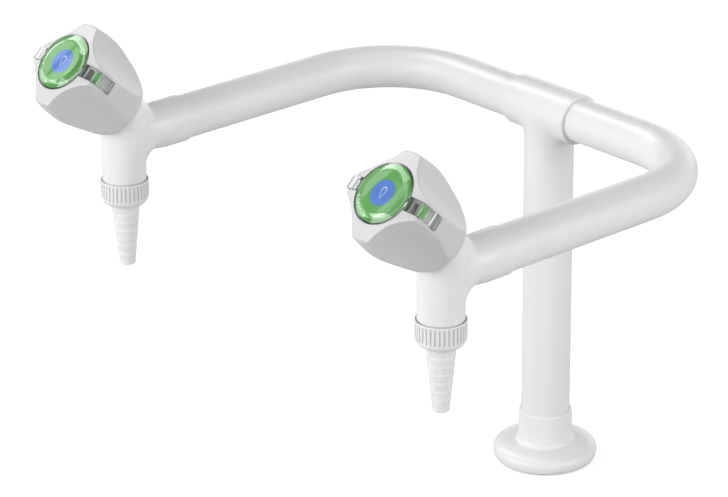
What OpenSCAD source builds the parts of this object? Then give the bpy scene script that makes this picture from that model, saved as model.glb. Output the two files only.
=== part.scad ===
// Bench-mounted laboratory water tap with two outlets on a level U-shaped pair of arms.
// A column rises from a rounded foot flange to a tee. Each arm leaves the tee, bends forward
// and ends in a cast valve body: an inclined quarter-turn valve under a four-lobed knob,
// and a spout with a removable hose nozzle held by a ribbed coupling nut.
// Millimetres, +Z up. The origin is the centre of the flange's flat bench face.
// The arms run forward along -Y, and the two outlets lie at -X (left) and +X (right).

/* [Foot flange] */
// Widest diameter of the rounded flange
flange_d = 60; // [54:1:80]
// Height at which the flange turns into the upright sleeve
flange_h = 10.6; // [8:0.1:12]
// Height of the rim's widest line above the bench
rim_z = 4.5; // [3.5:0.5:5.5]
// How far the flange's underside is drawn in from the widest line
underside_in = 2.5; // [1.5:0.5:4]
// Wall of the sleeve round the column
sleeve_wall = 1.5; // [1.2:0.1:3]
// Fullness of the flange's crown: 1 is an ellipse, less is squarer
crown_power = 0.8; // [0.6:0.05:1]
// Radius of the hollow between the flange's crown and the sleeve
crown_fillet = 2.4; // [1:0.1:4]
// Height of the top of the sleeve
sleeve_top = 30.6; // [24:0.1:50]
// Bevel at the top of the sleeve
sleeve_bevel = 1; // [0.6:0.1:1.2]
// Diameter of the inlet thread's wall, for a G 1/2 tail
inlet_d = 18.63; // [15:0.01:19]
// Depth of the inlet thread
inlet_depth = 13; // [9:0.5:14]
// Width of the ledge above the inlet thread
inlet_ledge = 2; // [1:0.5:3]
// Height of the shoulder on which the column stands
column_seat = 16; // [15.5:0.5:20]
// Inner diameter of the gasket that seals the flange to the bench
gasket_id = 38; // [34:1:40]
// Width of that gasket
gasket_w = 5; // [3:0.5:5]
// Thickness of that gasket
gasket_t = 1.5; // [1:0.1:2]

/* [Column and tee] */
// Outer diameter of the column
column_d = 28; // [27:0.5:30]
// Wall of the column
column_wall = 2.5; // [2:0.25:3.5]
// Height of the arms' centre line above the bench
arm_height = 215; // [170:5:300]
// Outer diameter of the tee's crosspiece
tee_d = 28.5; // [28:0.5:32]
// Half the length of the tee's crosspiece
tee_half = 24; // [20:1:40]
// Bevel on the rims of the tee
tee_bevel = 0.6; // [0.3:0.1:1]
// How far below the arms' centre line the column's top end lies
tee_drop = 18; // [17:0.5:24]
// Length of the spigot that locates the tee in the column
spigot_l = 14; // [8:1:24]
// Wall of that spigot
spigot_wall = 2; // [1.5:0.25:3]

/* [Arms] */
// Distance between the two outlets
outlet_pitch = 259; // [210:1:400]
// Distance of the outlets in front of the column
outlet_reach = 201.3; // [170:0.1:300]
// Centre-line radius of the bend in each arm
bend_r = 57; // [40:1:75]
// Outer diameter of the arm tube
arm_d = 24.5; // [22:0.5:25]
// Wall of the arm tube
arm_wall = 1.75; // [1.25:0.25:2.5]
// Half the gap between the two arm tubes inside the tee
arm_start = 8; // [5:0.5:12]

/* [Valve body] */
// Diameter of the barrel at its open end, where the arm enters
barrel_d = 26.2; // [26:0.1:30]
// Distance from the spout's axis back to the barrel's open end
barrel_back = 40; // [36:0.5:60]
// Length over which the barrel widens behind the elbow
barrel_cone = 8; // [4:0.5:14]
// Depth of the arm's socket in the barrel
socket_depth = 14; // [8:0.5:15]
// Bevel on the barrel's rim
barrel_bevel = 0.6; // [0.3:0.1:0.8]
// Diameter of the spout
spout_d = 24.5; // [24:0.5:26]
// Centre-line radius of the elbow between barrel and spout
elbow_r = 18; // [16:0.5:20]
// Height of the shoulder at the spout's lower end, below the arms' centre line
spout_drop = 27; // [24:0.5:50]
// Forward tilt of the knob's axis from the vertical
knob_tilt = 45; // [38:1:50]
// Height above the arms' centre line at which the knob's axis crosses the spout's axis
cross_up = 14; // [13:0.5:18]
// Diameter of the inclined boss that holds the headwork
boss_d = 24.6; // [24:0.1:26]
// Distance of the boss's top face from the crossing of the axes
boss_top = 3.6; // [3:0.1:5]
// Bevel round the boss's top face
boss_bevel = 0.8; // [0.4:0.1:1.2]
// How much narrower the boss's buried root is, on the radius
root_in = 1.3; // [0.5:0.1:2]
// Diameter of the headwork's chamber
chamber_d = 18; // [17:0.5:18.5]
// Depth of the chamber's floor below the crossing of the axes
chamber_floor = 9; // [8:0.5:10]
// Diameter of the port in the chamber's floor
seat_port_d = 9; // [6:0.5:10]
// Length of the bore below that port
seat_port_l = 13; // [10:0.5:14]
// Diameter of the inlet waterway in the barrel
inlet_way_d = 14; // [10:0.5:16]
// Length of that waterway
inlet_way_l = 11; // [9:0.5:12]
// Diameter of the waterway in the spout
spout_way_d = 12; // [8:0.5:13]
// Height of the top of that waterway above the spout's shoulder
spout_way_h = 21; // [18:0.5:22]
// Depth of the riser's foot below the arms' centre line
riser_foot = 8; // [7:0.5:9]
// Diameter of the riser from the spout to the chamber
riser_d = 6; // [5:0.5:6]

/* [Spout tail, nut and nozzle] */
// Outer diameter of the threaded tail under the spout
tail_d = 20.9; // [20:0.1:21.5]
// Length of the threaded tail
tail_l = 7.6; // [7:0.1:12]
// Outer diameter of the coupling nut over its ribs
nut_d = 26.8; // [26.6:0.1:30]
// Depth of the grooves between the ribs
rib_depth = 0.5; // [0.3:0.05:0.6]
// Number of ribs round the nut, always even
nut_ribs = 48; // [24:2:60]
// Share of each rib's pitch taken by the rib
rib_share = 0.5; // [0.35:0.05:0.6]
// How far the nut's rim reaches up round the spout
nut_lap = 1.5; // [1:0.1:3]
// Height of the nut's rounded lower end
nut_round = 6; // [4:0.5:6]
// Height of the nut's smooth rim
nut_rim_h = 1.6; // [1.2:0.1:2]
// Bevel on that rim
nut_rim_bevel = 0.4; // [0.2:0.1:0.6]
// Height of the ribs' lower ends above the nut's underside
rib_foot = 0.6; // [0.4:0.1:2]
// Width of the flat ring round the nozzle, under the nut
nut_flat = 0.9; // [0.6:0.1:1.5]
// Thickness of the nut's floor under the nozzle's collar
nut_floor = 2; // [1.8:0.1:4]
// Thickness of the nozzle's collar
collar_t = 1.6; // [1.4:0.1:2.5]
// How much narrower the collar is than the spout's tail, on the radius
collar_in = 0.3; // [0.2:0.1:0.6]
// Thickness of the flat seal above the collar
nozzle_seal_t = 1.5; // [1:0.1:2]
// Diameter of the nozzle just below the nut
nozzle_top_d = 15.9; // [13:0.1:16]
// How much wider the nozzle's neck is inside the nut, on the radius
neck_over = 0.2; // [0.1:0.05:0.4]
// Diameter of the nozzle's tip
nozzle_tip_d = 9; // [8:0.1:11]
// Length of the nozzle below the nut
nozzle_l = 36.3; // [25:0.1:50]
// Number of barbs
barbs = 7; // [4:1:9]
// Height of each barb's step
barb_step = 0.3; // [0.1:0.05:0.5]
// Height over which each barb steps out again
barb_rise = 0.4; // [0.2:0.1:1]
// Radius of the nozzle's rounded tip
tip_round = 1.6; // [0.8:0.1:1.6]
// Length of the plain ends above and below the barbs, taken together
plain_l = 2.5; // [2.2:0.1:5]
// Length of the plain end just below the nut
plain_top = 0.5; // [0.3:0.1:1]
// Diameter of the nozzle's bore
nozzle_bore = 6; // [4:0.5:6.5]
// Length of the cone that leads into the bore
nozzle_mouth_l = 6; // [3:0.5:8]
// How much narrower that cone's mouth is than the spout's waterway, on the radius
mouth_in = 0.5; // [0.3:0.1:1]

/* [Headwork] */
// Outer diameter of the bonnet's flange
bonnet_flange_d = 23.6; // [22:0.1:24]
// Thickness of that flange
bonnet_flange_t = 1.5; // [1:0.1:2]
// Distance across the flats of the bonnet's hexagon
hex_af = 20; // [18:0.5:21]
// Height of the hexagon
hex_h = 5; // [4:0.5:6]
// Diameter of the bonnet's neck
neck_d = 15; // [13:0.5:17]
// Height of the neck
neck_h = 7; // [6:0.5:8]
// Width of the two windows in the bonnet's shell
window_w = 9; // [7:0.5:10]
// Width of the land above those windows
window_land = 1.2; // [1:0.1:1.5]
// Gap between the bonnet's shell and the chamber's floor
shell_gap = 0.4; // [0.3:0.1:0.6]
// Diameter of the spindle
spindle_d = 9; // [8:0.25:9.5]
// Thickness of each ceramic disc
disc_t = 3; // [2.5:0.1:3.2]
// Diameter of the round ports in the ceramic discs
disc_port_d = 4.2; // [3:0.1:4.4]
// Thickness of the seat seal
seat_seal_t = 1.6; // [1.2:0.1:2]
// Width of the seat seal
seat_seal_w = 1.2; // [0.8:0.1:1.5]
// Wall of the bonnet round the discs
bonnet_wall = 1.5; // [1.2:0.1:1.6]
// Thickness of the spindle's driver
driver_t = 2.6; // [2:0.1:3]
// How much narrower the driver is than the discs, on the radius
driver_in = 1.5; // [1:0.1:2]
// Distance of the lower ring above the bonnet's flange
ring_in = 1.5; // [1.2:0.1:2]
// Distance of the upper ring above the foot of the neck
ring_up = 2.5; // [1.5:0.1:4]
// Section of the spindle's rings
ring_section = 1.24; // [1:0.02:1.4]
// How far the spline's tips lie inside the spindle's surface
spline_inset = 0.15; // [0.1:0.05:0.3]
// Depth of the spline's teeth
spline_depth = 0.5; // [0.3:0.05:0.6]
// Number of teeth of the spindle's spline
spline_teeth = 20; // [12:2:24]

/* [Knob] */
// Greatest diameter over the ridges
knob_d = 53.1; // [50:0.1:56]
// Radius of the knob's barrel-shaped side
knob_side_r = 68; // [60:0.1:90]
// Distance of the knob's base from the crossing of the axes
knob_base = 4.4; // [4.2:0.1:6]
// Distance of the widest section from the crossing of the axes
knob_widest = 38.3; // [34:0.1:39]
// Distance of the shoulder, where the side meets the domed face
knob_shoulder = 51; // [50:0.1:52]
// Distance of the face's inner edge, beside the clear cap
knob_face = 53.2; // [52.8:0.1:54]
// Distance of the hollowed flanks from the axis at the face
flank_at = 19.4; // [19:0.1:21]
// Radius of the hollow in each flank
flank_r = 36; // [30:1:80]
// Angle at which the flanks spread towards the base, below zero where they close in
flank_spread = -0.8; // [-2:0.1:6]
// Distance from the axis, at the base, of the flat facets under the ridges
facet_at = 17.8; // [17.6:0.1:19.6]
// Angle at which those facets lean out from the base
facet_lean = 17.4; // [14:0.1:18]
// Wall of the knob
knob_wall = 2.4; // [1.8:0.1:2.8]
// Distance at which the wall's inner side first bends, above the base
hollow_low = 12.5; // [10:0.5:16]
// Distance at which it bends again, below the deck
hollow_high = 30; // [26:0.5:34]
// Distance of the lower edges of the ribs above the bonnet's neck
rib_from = 8; // [6:0.5:10]
// Distance of the underside of the deck inside the knob
deck_at = 44; // [43:0.5:45]
// Thickness of the deck
deck_t = 3; // [2:0.1:3.2]
// Outer diameter of the hub
hub_d = 14; // [13:0.5:16]
// Thickness of the hub's top over the spline
hub_top_t = 4; // [3:0.5:5]
// Thickness of the ribs between hub and wall
rib_t = 1.6; // [1.2:0.1:2.4]
// Diameter of the screw that holds the knob
screw_d = 3.9; // [3:0.1:4]
// Diameter of the screw's head
screw_head_d = 8; // [6:0.5:9]
// Length of the screw's hole below the spline's end
screw_bite = 13; // [10:0.5:15]
// Diameter of the screw's hexagonal socket over its corners
screw_key_d = 3.5; // [2.5:0.1:4]
// Height of the screw's head
screw_head_h = 2.4; // [1.8:0.1:2.6]

/* [Clear cap and media disc] */
// Diameter of the clear cap
cap_d = 33.8; // [32:0.1:35]
// Distance of the cap's flat underside from the crossing of the axes
cap_under = 52.6; // [52:0.1:53]
// Height of the cap's upright rim above its underside
cap_rim_h = 1.3; // [0.8:0.1:2]
// Height of the bevelled ring above the rim
cap_ring_h = 1.5; // [1:0.1:2]
// Height of the dome above the bevelled ring
cap_dome_h = 0.9; // [0.5:0.1:2]
// Diameter of the domed window inside the bevelled ring
window_d = 25; // [20:0.5:28]
// Thickness of the cap's skirt
skirt_t = 1.1; // [0.8:0.1:1.4]
// Width of the slots for the cap's side clips
slot_w = 8; // [6:0.25:9]
// Depth of those slots below the ridges
slot_depth = 3.9; // [3:0.1:4.2]
// Distance of the lower end of the slots
slot_end = 37.2; // [34:0.1:42]
// Thickness of the clips
clip_t = 2.3; // [1.6:0.1:2.6]
// How far the clips stand proud of the ridges
clip_proud = 0.9; // [0:0.1:1.2]
// Thickness of the media disc
media_t = 1.1; // [0.8:0.1:1.6]
// Diameter of the inlaid centre
centre_d = 14; // [10:0.5:20]
// Thickness of the inlaid centre
centre_t = 0.6; // [0.4:0.1:0.7]
// Height of the coloured markers under the clips
marker_h = 4.2; // [3:0.1:5]
// Thickness of those markers
marker_t = 0.8; // [0.5:0.1:0.8]
// Distance of the markers' middle
marker_at = 45.9; // [44.5:0.1:46.5]

/* [Fits] */
// Radial clearance of a tube brazed in its socket
braze_gap = 0.03; // [0.02:0.01:0.08]
// Radial clearance of a ring in its groove
ring_play = 0.03; // [0.02:0.01:0.06]
// Radial clearance of a turning or screwed fit
running_gap = 0.05; // [0.03:0.01:0.08]
// Gap between faces that slide on each other
face_gap = 0.05; // [0.03:0.01:0.08]
// Gap round pieces that lie loose in a recess
loose_gap = 0.15; // [0.1:0.01:0.2]
// Gap between the knob and the pieces it turns over
sweep_gap = 0.5; // [0.3:0.1:0.8]

/* [Hidden] */

$fn = 96;
left = -1;
right = 1;
cut = 1;

coated_white = [0.93, 0.93, 0.92];
knob_white = [0.86, 0.86, 0.86];
nozzle_white = [0.95, 0.95, 0.94];
media_green = [0.35, 0.68, 0.30];
media_blue = [0.30, 0.52, 0.93];
clear_plastic = [0.85, 0.90, 0.90, 0.35];
seal_black = [0.08, 0.08, 0.08];
brass_yellow = [0.78, 0.62, 0.30];
ceramic_cream = [0.92, 0.90, 0.84];
steel_grey = [0.70, 0.70, 0.72];

// Places that several pieces share
outlet_x = outlet_pitch / 2;
column_bore = column_d - 2 * column_wall;
sleeve_d = column_d + 2 * sleeve_wall;
arm_bore = arm_d - 2 * arm_wall;
socket_end = barrel_back - socket_depth;
arm_forward = outlet_reach - socket_end - bend_r;

// Heights at an outlet, measured from the arms' centre line
tail_end = -spout_drop - tail_l;
nut_top = -spout_drop + nut_lap;
collar_top = tail_end - nozzle_seal_t - face_gap;
collar_under = collar_top - collar_t;
nut_seat = collar_under - face_gap;
nut_bottom = nut_seat - nut_floor;
tip_z = nut_bottom - nozzle_l;
collar_d = tail_d - 2 * collar_in;
neck_of_nozzle_d = nozzle_top_d + 2 * neck_over;

// Distances along the knob's axis, measured from its crossing with the spout's axis
fixed_disc_at = -chamber_floor + seat_seal_t;
turning_disc_at = fixed_disc_at + disc_t + face_gap;
driver_at = turning_disc_at + disc_t;
cavity_top = driver_at + driver_t + face_gap;
hex_at = boss_top + bonnet_flange_t;
neck_at = hex_at + hex_h;
neck_top = neck_at + neck_h;
hub_bottom = neck_top + sweep_gap;
spline_top = deck_at - hub_top_t;
bonnet_shell_d = chamber_d - 2 * running_gap;
disc_space_d = bonnet_shell_d - 2 * bonnet_wall;
disc_d = disc_space_d - 2 * running_gap;
disc_port_at = disc_d * 0.29;
screw_start = spline_top - screw_bite;
spline_r = spindle_d / 2 - spline_inset;
ring_at = [hex_at + ring_in, neck_at + ring_up];

// The riser leans forward from the spout's bore to the front window of the bonnet
riser_y = chamber_d / 2 * cos(knob_tilt) - 0.3 * riser_d * sin(knob_tilt);
riser_z = cross_up - chamber_d / 2 * sin(knob_tilt) + riser_foot;
riser_tilt = atan(riser_y / riser_z);
riser_l = sqrt(riser_y * riser_y + riser_z * riser_z);

// The knob's ridges follow one circle
function ridge_r(s) =
    knob_d / 2 - knob_side_r + sqrt(knob_side_r * knob_side_r - pow(s - knob_widest, 2));
function flank_r_at(s) = flank_at + (knob_face - s) * tan(flank_spread);
function least_r(s) = min(ridge_r(s), flank_r_at(s));

module at_outlet(side) {
    translate([side * outlet_x, -outlet_reach, arm_height]) children();
}

// Turns a piece drawn along +Z so that it lies on the knob's tilted axis
module on_knob_axis() {
    translate([0, 0, cross_up]) rotate([knob_tilt, 0, 0]) children();
}

module tube_between(d_outer, d_inner, from, to) {
    translate([0, 0, from]) difference() {
        cylinder(d = d_outer, h = to - from);
        translate([0, 0, -cut]) cylinder(d = d_inner, h = to - from + 2 * cut);
    }
}

// Foot flange with its sleeve, column socket, thread socket and gasket groove
module base_flange() {
    rim_r = flange_d / 2;
    sleeve_r = sleeve_d / 2;
    under_r = rim_r - underside_in;
    crown_r = sleeve_r + crown_fillet;
    color(coated_white) difference() {
        rotate_extrude() polygon(concat(
            [[0, 0], [under_r, 0]],
            [for (a = [-60 : 20 : 0]) [under_r + underside_in * cos(a), rim_z * (1 + sin(a))]],
            [for (a = [10 : 10 : 90])
                [crown_r + (rim_r - crown_r) * pow(abs(cos(a)), crown_power),
                    rim_z + (flange_h - rim_z) * pow(sin(a), crown_power)]],
            [for (a = [30 : 30 : 90])
                [crown_r - crown_fillet * sin(a), flange_h + crown_fillet * (1 - cos(a))]],
            [[sleeve_r, sleeve_top - sleeve_bevel], [sleeve_r - sleeve_bevel, sleeve_top]],
            [[0, sleeve_top]]
        ));
        translate([0, 0, column_seat])
            cylinder(d = column_d + 2 * braze_gap, h = sleeve_top - column_seat + cut);
        translate([0, 0, -cut]) cylinder(d = inlet_d, h = inlet_depth + cut);
        cylinder(d = inlet_d - 2 * inlet_ledge, h = column_seat + cut);
        translate([0, 0, -cut]) tube_between(
            gasket_id + 2 * gasket_w + 2 * loose_gap, gasket_id - 2 * loose_gap,
            0, gasket_t + face_gap + cut);
    }
}

module foot_gasket() {
    color(seal_black) tube_between(gasket_id + 2 * gasket_w, gasket_id, 0, gasket_t);
}

module column() {
    color(coated_white)
        tube_between(column_d, column_bore, column_seat, arm_height - tee_drop);
}

// Crosspiece with bevelled rims, a branch flush with the column and a locating spigot
module tee() {
    tee_r = tee_d / 2;
    spigot_d = column_bore - 2 * braze_gap;
    color(coated_white) translate([0, 0, arm_height]) difference() {
        union() {
            rotate([0, 90, 0]) rotate_extrude() polygon([
                [0, -tee_half], [tee_r - tee_bevel, -tee_half],
                [tee_r, -tee_half + tee_bevel], [tee_r, tee_half - tee_bevel],
                [tee_r - tee_bevel, tee_half], [0, tee_half]
            ]);
            translate([0, 0, -tee_drop]) cylinder(d = column_d, h = tee_drop);
            translate([0, 0, -tee_drop - spigot_l]) cylinder(d = spigot_d, h = spigot_l + cut);
        }
        for (turn = [90, -90]) rotate([0, turn, 0]) translate([0, 0, arm_start])
            cylinder(d = arm_d + 2 * braze_gap, h = tee_half);
        rotate([0, 90, 0]) translate([0, 0, -tee_half]) cylinder(d = arm_bore, h = 2 * tee_half);
        translate([0, 0, -tee_drop - spigot_l - cut])
            cylinder(d = spigot_d - 2 * spigot_wall, h = tee_drop + spigot_l + cut);
    }
}

// Centre line of the right arm: out of the tee, round the level bend and forward
module arm_run(d, extra) {
    straight = outlet_x - bend_r - arm_start;
    translate([arm_start - extra, 0, 0]) rotate([0, 90, 0]) cylinder(d = d, h = straight + extra);
    translate([outlet_x - bend_r, -bend_r, 0])
        rotate_extrude(angle = 90) translate([bend_r, 0]) circle(d = d);
    translate([outlet_x, -bend_r, 0]) rotate([90, 0, 0]) cylinder(d = d, h = arm_forward + extra);
}

module arm() {
    color(coated_white) translate([0, 0, arm_height]) difference() {
        arm_run(arm_d, 0);
        arm_run(arm_bore, cut);
    }
}

// Cast body: tapered barrel, elbow, spout with threaded tail and the inclined boss
module valve_body() {
    spout_r = spout_d / 2;
    boss_r = boss_d / 2;
    root_r = boss_r - root_in;
    root_at = -2 * chamber_floor;
    color(coated_white) difference() {
        union() {
            translate([0, elbow_r, 0]) rotate([-90, 0, 0]) rotate_extrude() polygon([
                [0, 0], [spout_r, 0],
                [barrel_d / 2, barrel_cone],
                [barrel_d / 2, barrel_back - elbow_r - barrel_bevel],
                [barrel_d / 2 - barrel_bevel, barrel_back - elbow_r],
                [0, barrel_back - elbow_r]
            ]);
            translate([0, elbow_r, -elbow_r]) rotate([90, 0, -90])
                rotate_extrude(angle = 90) translate([elbow_r, 0]) circle(d = spout_d);
            rotate([-90, 0, 0]) cylinder(d = spout_d, h = elbow_r);
            translate([0, 0, -spout_drop]) cylinder(d = spout_d, h = spout_drop);
            intersection() {
                cylinder(d = spout_d, h = cross_up);
                on_knob_axis() translate([-spout_d, -2 * spout_d, -2 * spout_d])
                    cube([2 * spout_d, 2 * spout_d, 2 * spout_d + boss_top - boss_bevel]);
            }
            translate([0, 0, tail_end]) cylinder(d = tail_d, h = tail_l + cut);
            on_knob_axis() rotate_extrude() polygon([
                [0, root_at], [root_r, root_at], [boss_r, -chamber_floor],
                [boss_r, boss_top - boss_bevel], [boss_r - boss_bevel, boss_top], [0, boss_top]
            ]);
        }
        translate([0, socket_end, 0]) rotate([-90, 0, 0])
            cylinder(d = arm_d + 2 * braze_gap, h = socket_depth + cut);
        translate([0, socket_end - inlet_way_l, 0]) rotate([-90, 0, 0])
            cylinder(d = inlet_way_d, h = inlet_way_l + cut);
        on_knob_axis() {
            translate([0, 0, -chamber_floor])
                cylinder(d = chamber_d, h = chamber_floor + boss_top + cut);
            translate([0, 0, -chamber_floor - seat_port_l])
                cylinder(d = seat_port_d, h = seat_port_l + cut);
        }
        translate([0, 0, tail_end - cut]) cylinder(d = spout_way_d, h = tail_l + spout_way_h + cut);
        translate([0, 0, -riser_foot]) rotate([riser_tilt, 0, 0]) cylinder(d = riser_d, h = riser_l);
    }
}

module seat_seal() {
    color(seal_black) on_knob_axis()
        tube_between(disc_d, disc_d - 2 * seat_seal_w, -chamber_floor, fixed_disc_at);
}

// Ceramic disc with two round ports; quarter gives the direction of the ports
module ceramic_disc(at, quarter) {
    color(ceramic_cream) on_knob_axis() translate([0, 0, at]) difference() {
        cylinder(d = disc_d, h = disc_t);
        for (turn = [quarter, quarter + 180]) rotate([0, 0, turn])
            translate([disc_port_at, 0, -cut]) cylinder(d = disc_port_d, h = disc_t + 2 * cut);
    }
}

// Screwed bonnet: windowed shell round the discs, flange, hexagon and neck
module bonnet() {
    shell_bottom = -chamber_floor + shell_gap;
    window_at = driver_at + loose_gap;
    window_h = boss_top - window_land - window_at;
    color(brass_yellow) on_knob_axis() difference() {
        union() {
            translate([0, 0, shell_bottom])
                cylinder(d = bonnet_shell_d, h = boss_top - shell_bottom);
            translate([0, 0, boss_top]) cylinder(d = bonnet_flange_d, h = bonnet_flange_t);
            translate([0, 0, hex_at]) cylinder(d = hex_af / cos(30), h = hex_h, $fn = 6);
            translate([0, 0, neck_at]) cylinder(d = neck_d, h = neck_h);
        }
        translate([0, 0, shell_bottom - cut])
            cylinder(d = disc_space_d, h = cavity_top - shell_bottom + cut);
        cylinder(d = spindle_d + 2 * running_gap, h = neck_top + cut);
        translate([-window_w / 2, -chamber_d, window_at]) cube([window_w, 2 * chamber_d, window_h]);
    }
}

function spline_points(outer, teeth, depth) = [
    for (i = [0 : 2 * teeth - 1])
        let (r = (i % 2 == 0) ? outer : outer - depth, a = i * 180 / teeth)
            [r * cos(a), r * sin(a)]
];

// Spindle with driver, two ring grooves, splined top and a tapped hole for the knob's screw
module spindle() {
    groove_w = ring_section + loose_gap;
    color(brass_yellow) on_knob_axis() difference() {
        union() {
            translate([0, 0, driver_at]) cylinder(d = disc_d - 2 * driver_in, h = driver_t);
            translate([0, 0, driver_at]) cylinder(d = spindle_d, h = hub_bottom - driver_at);
            translate([0, 0, hub_bottom - cut])
                linear_extrude(spline_top - hub_bottom - loose_gap + cut)
                    polygon(spline_points(spline_r, spline_teeth, spline_depth));
        }
        for (at = ring_at) translate([0, 0, at - groove_w / 2]) tube_between(
            spindle_d + cut, spindle_d - 2 * ring_section + 2 * ring_play, 0, groove_w);
        translate([0, 0, screw_start]) cylinder(d = screw_d + 2 * braze_gap, h = spline_top);
    }
}

module spindle_rings() {
    color(seal_black) on_knob_axis() for (at = ring_at) translate([0, 0, at]) rotate_extrude()
        translate([spindle_d / 2 - ring_section / 2 + ring_play, 0])
            circle(d = ring_section - 2 * ring_play, $fn = 32);
}

// Side view of a cap clip: across the face, over the ridge and down its slot.
// grow swells it evenly, which gives the slot's own outline.
function clip_outline(inner, outer, top, end) = [
    [inner, top - clip_t], [ridge_r(knob_shoulder) - 1.8, top - clip_t - 1.4],
    [ridge_r(marker_at) + outer - clip_t, marker_at], [ridge_r(end) + outer - clip_t, end],
    [ridge_r(end) + outer, end], [ridge_r(marker_at) + outer, marker_at],
    [ridge_r(knob_shoulder) + outer, knob_shoulder + 0.3],
    [ridge_r(knob_shoulder) - 0.6, knob_shoulder + 1.2], [inner, top]
];

module clips() {
    clip_w = slot_w - 2 * loose_gap - 0.5;
    for (turn = [0, 180]) rotate([0, 0, turn]) translate([0, clip_w / 2, 0]) rotate([90, 0, 0])
        linear_extrude(clip_w) polygon(clip_outline(
            cap_d / 2 - 0.8, clip_proud, cap_under + cap_rim_h - 0.4, slot_end + loose_gap));
}

module clip_slots() {
    floor_s = cap_under - clip_t - 1.2;
    far = knob_d;
    for (turn = [0, 180]) rotate([0, 0, turn]) {
        translate([0, slot_w / 2, 0]) rotate([90, 0, 0]) linear_extrude(slot_w) polygon([
            [cap_d / 2 - 2, floor_s], [ridge_r(knob_shoulder) - slot_depth, floor_s - 1.2],
            [ridge_r(marker_at) - slot_depth, marker_at], [ridge_r(slot_end) - slot_depth, slot_end],
            [far, slot_end], [far, knob_face + cut], [cap_d / 2 - 2, knob_face + cut]
        ]);
        translate([cap_d / 2 + 1.4, -slot_w / 2 + 1, deck_at - 4])
            cube([2.6, slot_w - 2, knob_face - deck_at]);
    }
}

// Space inside the knob's wall, below the deck
module knob_hollow(wall) {
    rotate_extrude() polygon(concat(
        [[0, knob_base - cut], [least_r(knob_base) - wall, knob_base - cut]],
        [for (s = [hollow_low, hollow_high, deck_at]) [least_r(s) - wall, s]],
        [[0, deck_at]]
    ));
}

// Moulded knob: barrel-shaped body, four hollowed flanks, domed face with the cap's recess
// and clip slots, hub with spline, and stiffening ribs
module knob() {
    recess_d = cap_d + 2 * loose_gap;
    deck_top = deck_at + deck_t;
    hub_r = hub_d / 2;
    color(knob_white) on_knob_axis() difference() {
        union() {
            difference() {
                rotate_extrude() intersection() {
                    translate([knob_d / 2 - knob_side_r, knob_widest]) circle(r = knob_side_r, $fn = 360);
                    polygon([
                        [0, knob_base], [ridge_r(knob_base) - 1, knob_base],
                        [ridge_r(knob_base) + 0.8, knob_base + 1], [knob_d, knob_base + 1],
                        [knob_d, knob_shoulder - 1], [ridge_r(knob_shoulder), knob_shoulder - 0.6],
                        [ridge_r(knob_shoulder) - 1, knob_shoulder + 0.2],
                        [cap_d / 2 + 0.6, knob_face], [0, knob_face]
                    ]);
                }
                for (turn = [45 : 90 : 315]) rotate([0, 0, turn]) translate([flank_at, 0, knob_face])
                    rotate([0, -flank_spread, 0]) translate([flank_r, 0, -2 * knob_face])
                        cylinder(r = flank_r, h = 3 * knob_face, $fn = 360);
                for (turn = [0 : 90 : 270]) rotate([0, 0, turn]) translate([facet_at, 0, knob_base])
                    rotate([0, facet_lean, 0]) translate([0, -knob_d / 2, -knob_d])
                        cube([knob_d, knob_d, 3 * knob_d]);
                knob_hollow(knob_wall);
            }
            intersection() {
                knob_hollow(knob_wall - cut);
                union() {
                    translate([0, 0, hub_bottom]) cylinder(r = hub_r, h = deck_at - hub_bottom + cut);
                    for (turn = [0, 90]) rotate([0, 0, turn])
                        translate([-knob_d / 2, -rib_t / 2, neck_top + rib_from])
                            cube([knob_d, rib_t, deck_at - neck_top - rib_from]);
                }
            }
        }
        translate([0, 0, deck_top]) cylinder(d = recess_d, h = knob_face);
        clip_slots();
        translate([0, 0, hub_bottom - cut]) linear_extrude(spline_top - hub_bottom + cut)
            polygon(spline_points(spline_r + braze_gap, spline_teeth, spline_depth));
        translate([0, 0, hub_bottom]) cylinder(d = screw_d + 0.4, h = knob_face);
        translate([0, 0, deck_at]) cylinder(d = screw_head_d + 0.8, h = knob_face);
    }
}

module knob_screw() {
    color(steel_grey) on_knob_axis() difference() {
        union() {
            translate([0, 0, screw_start + 1]) cylinder(d = screw_d, h = deck_at - screw_start);
            translate([0, 0, deck_at]) cylinder(d = screw_head_d, h = screw_head_h);
        }
        translate([0, 0, deck_at + screw_head_h - 1.4]) cylinder(d = screw_key_d, h = 2, $fn = 6);
    }
}

// Coloured disc on a short skirt that stands on the knob's deck
module media_disc() {
    disc_r = cap_d / 2 - skirt_t - loose_gap;
    top = cap_under - face_gap;
    color(media_green) on_knob_axis() difference() {
        translate([0, 0, deck_at + deck_t + face_gap])
            cylinder(r = disc_r, h = top - deck_at - deck_t - face_gap);
        translate([0, 0, deck_at]) cylinder(r = disc_r - 2, h = top - media_t - deck_at);
        translate([0, 0, top - centre_t]) cylinder(d = centre_d + 2 * running_gap, h = 2 * cut);
    }
}

module media_centre() {
    color(media_blue) on_knob_axis() translate([0, 0, cap_under - face_gap - centre_t])
        cylinder(d = centre_d, h = centre_t);
}

// Coloured markers on the floor of the slots, seen through the clips
module side_markers() {
    marker_w = slot_w - 2;
    seat_r = ridge_r(marker_at) - slot_depth + 0.12;
    color(media_green) on_knob_axis() for (turn = [0, 180]) rotate([0, 0, turn])
        translate([seat_r, -marker_w / 2, marker_at - marker_h / 2])
            cube([marker_t, marker_w, marker_h]);
}

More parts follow.
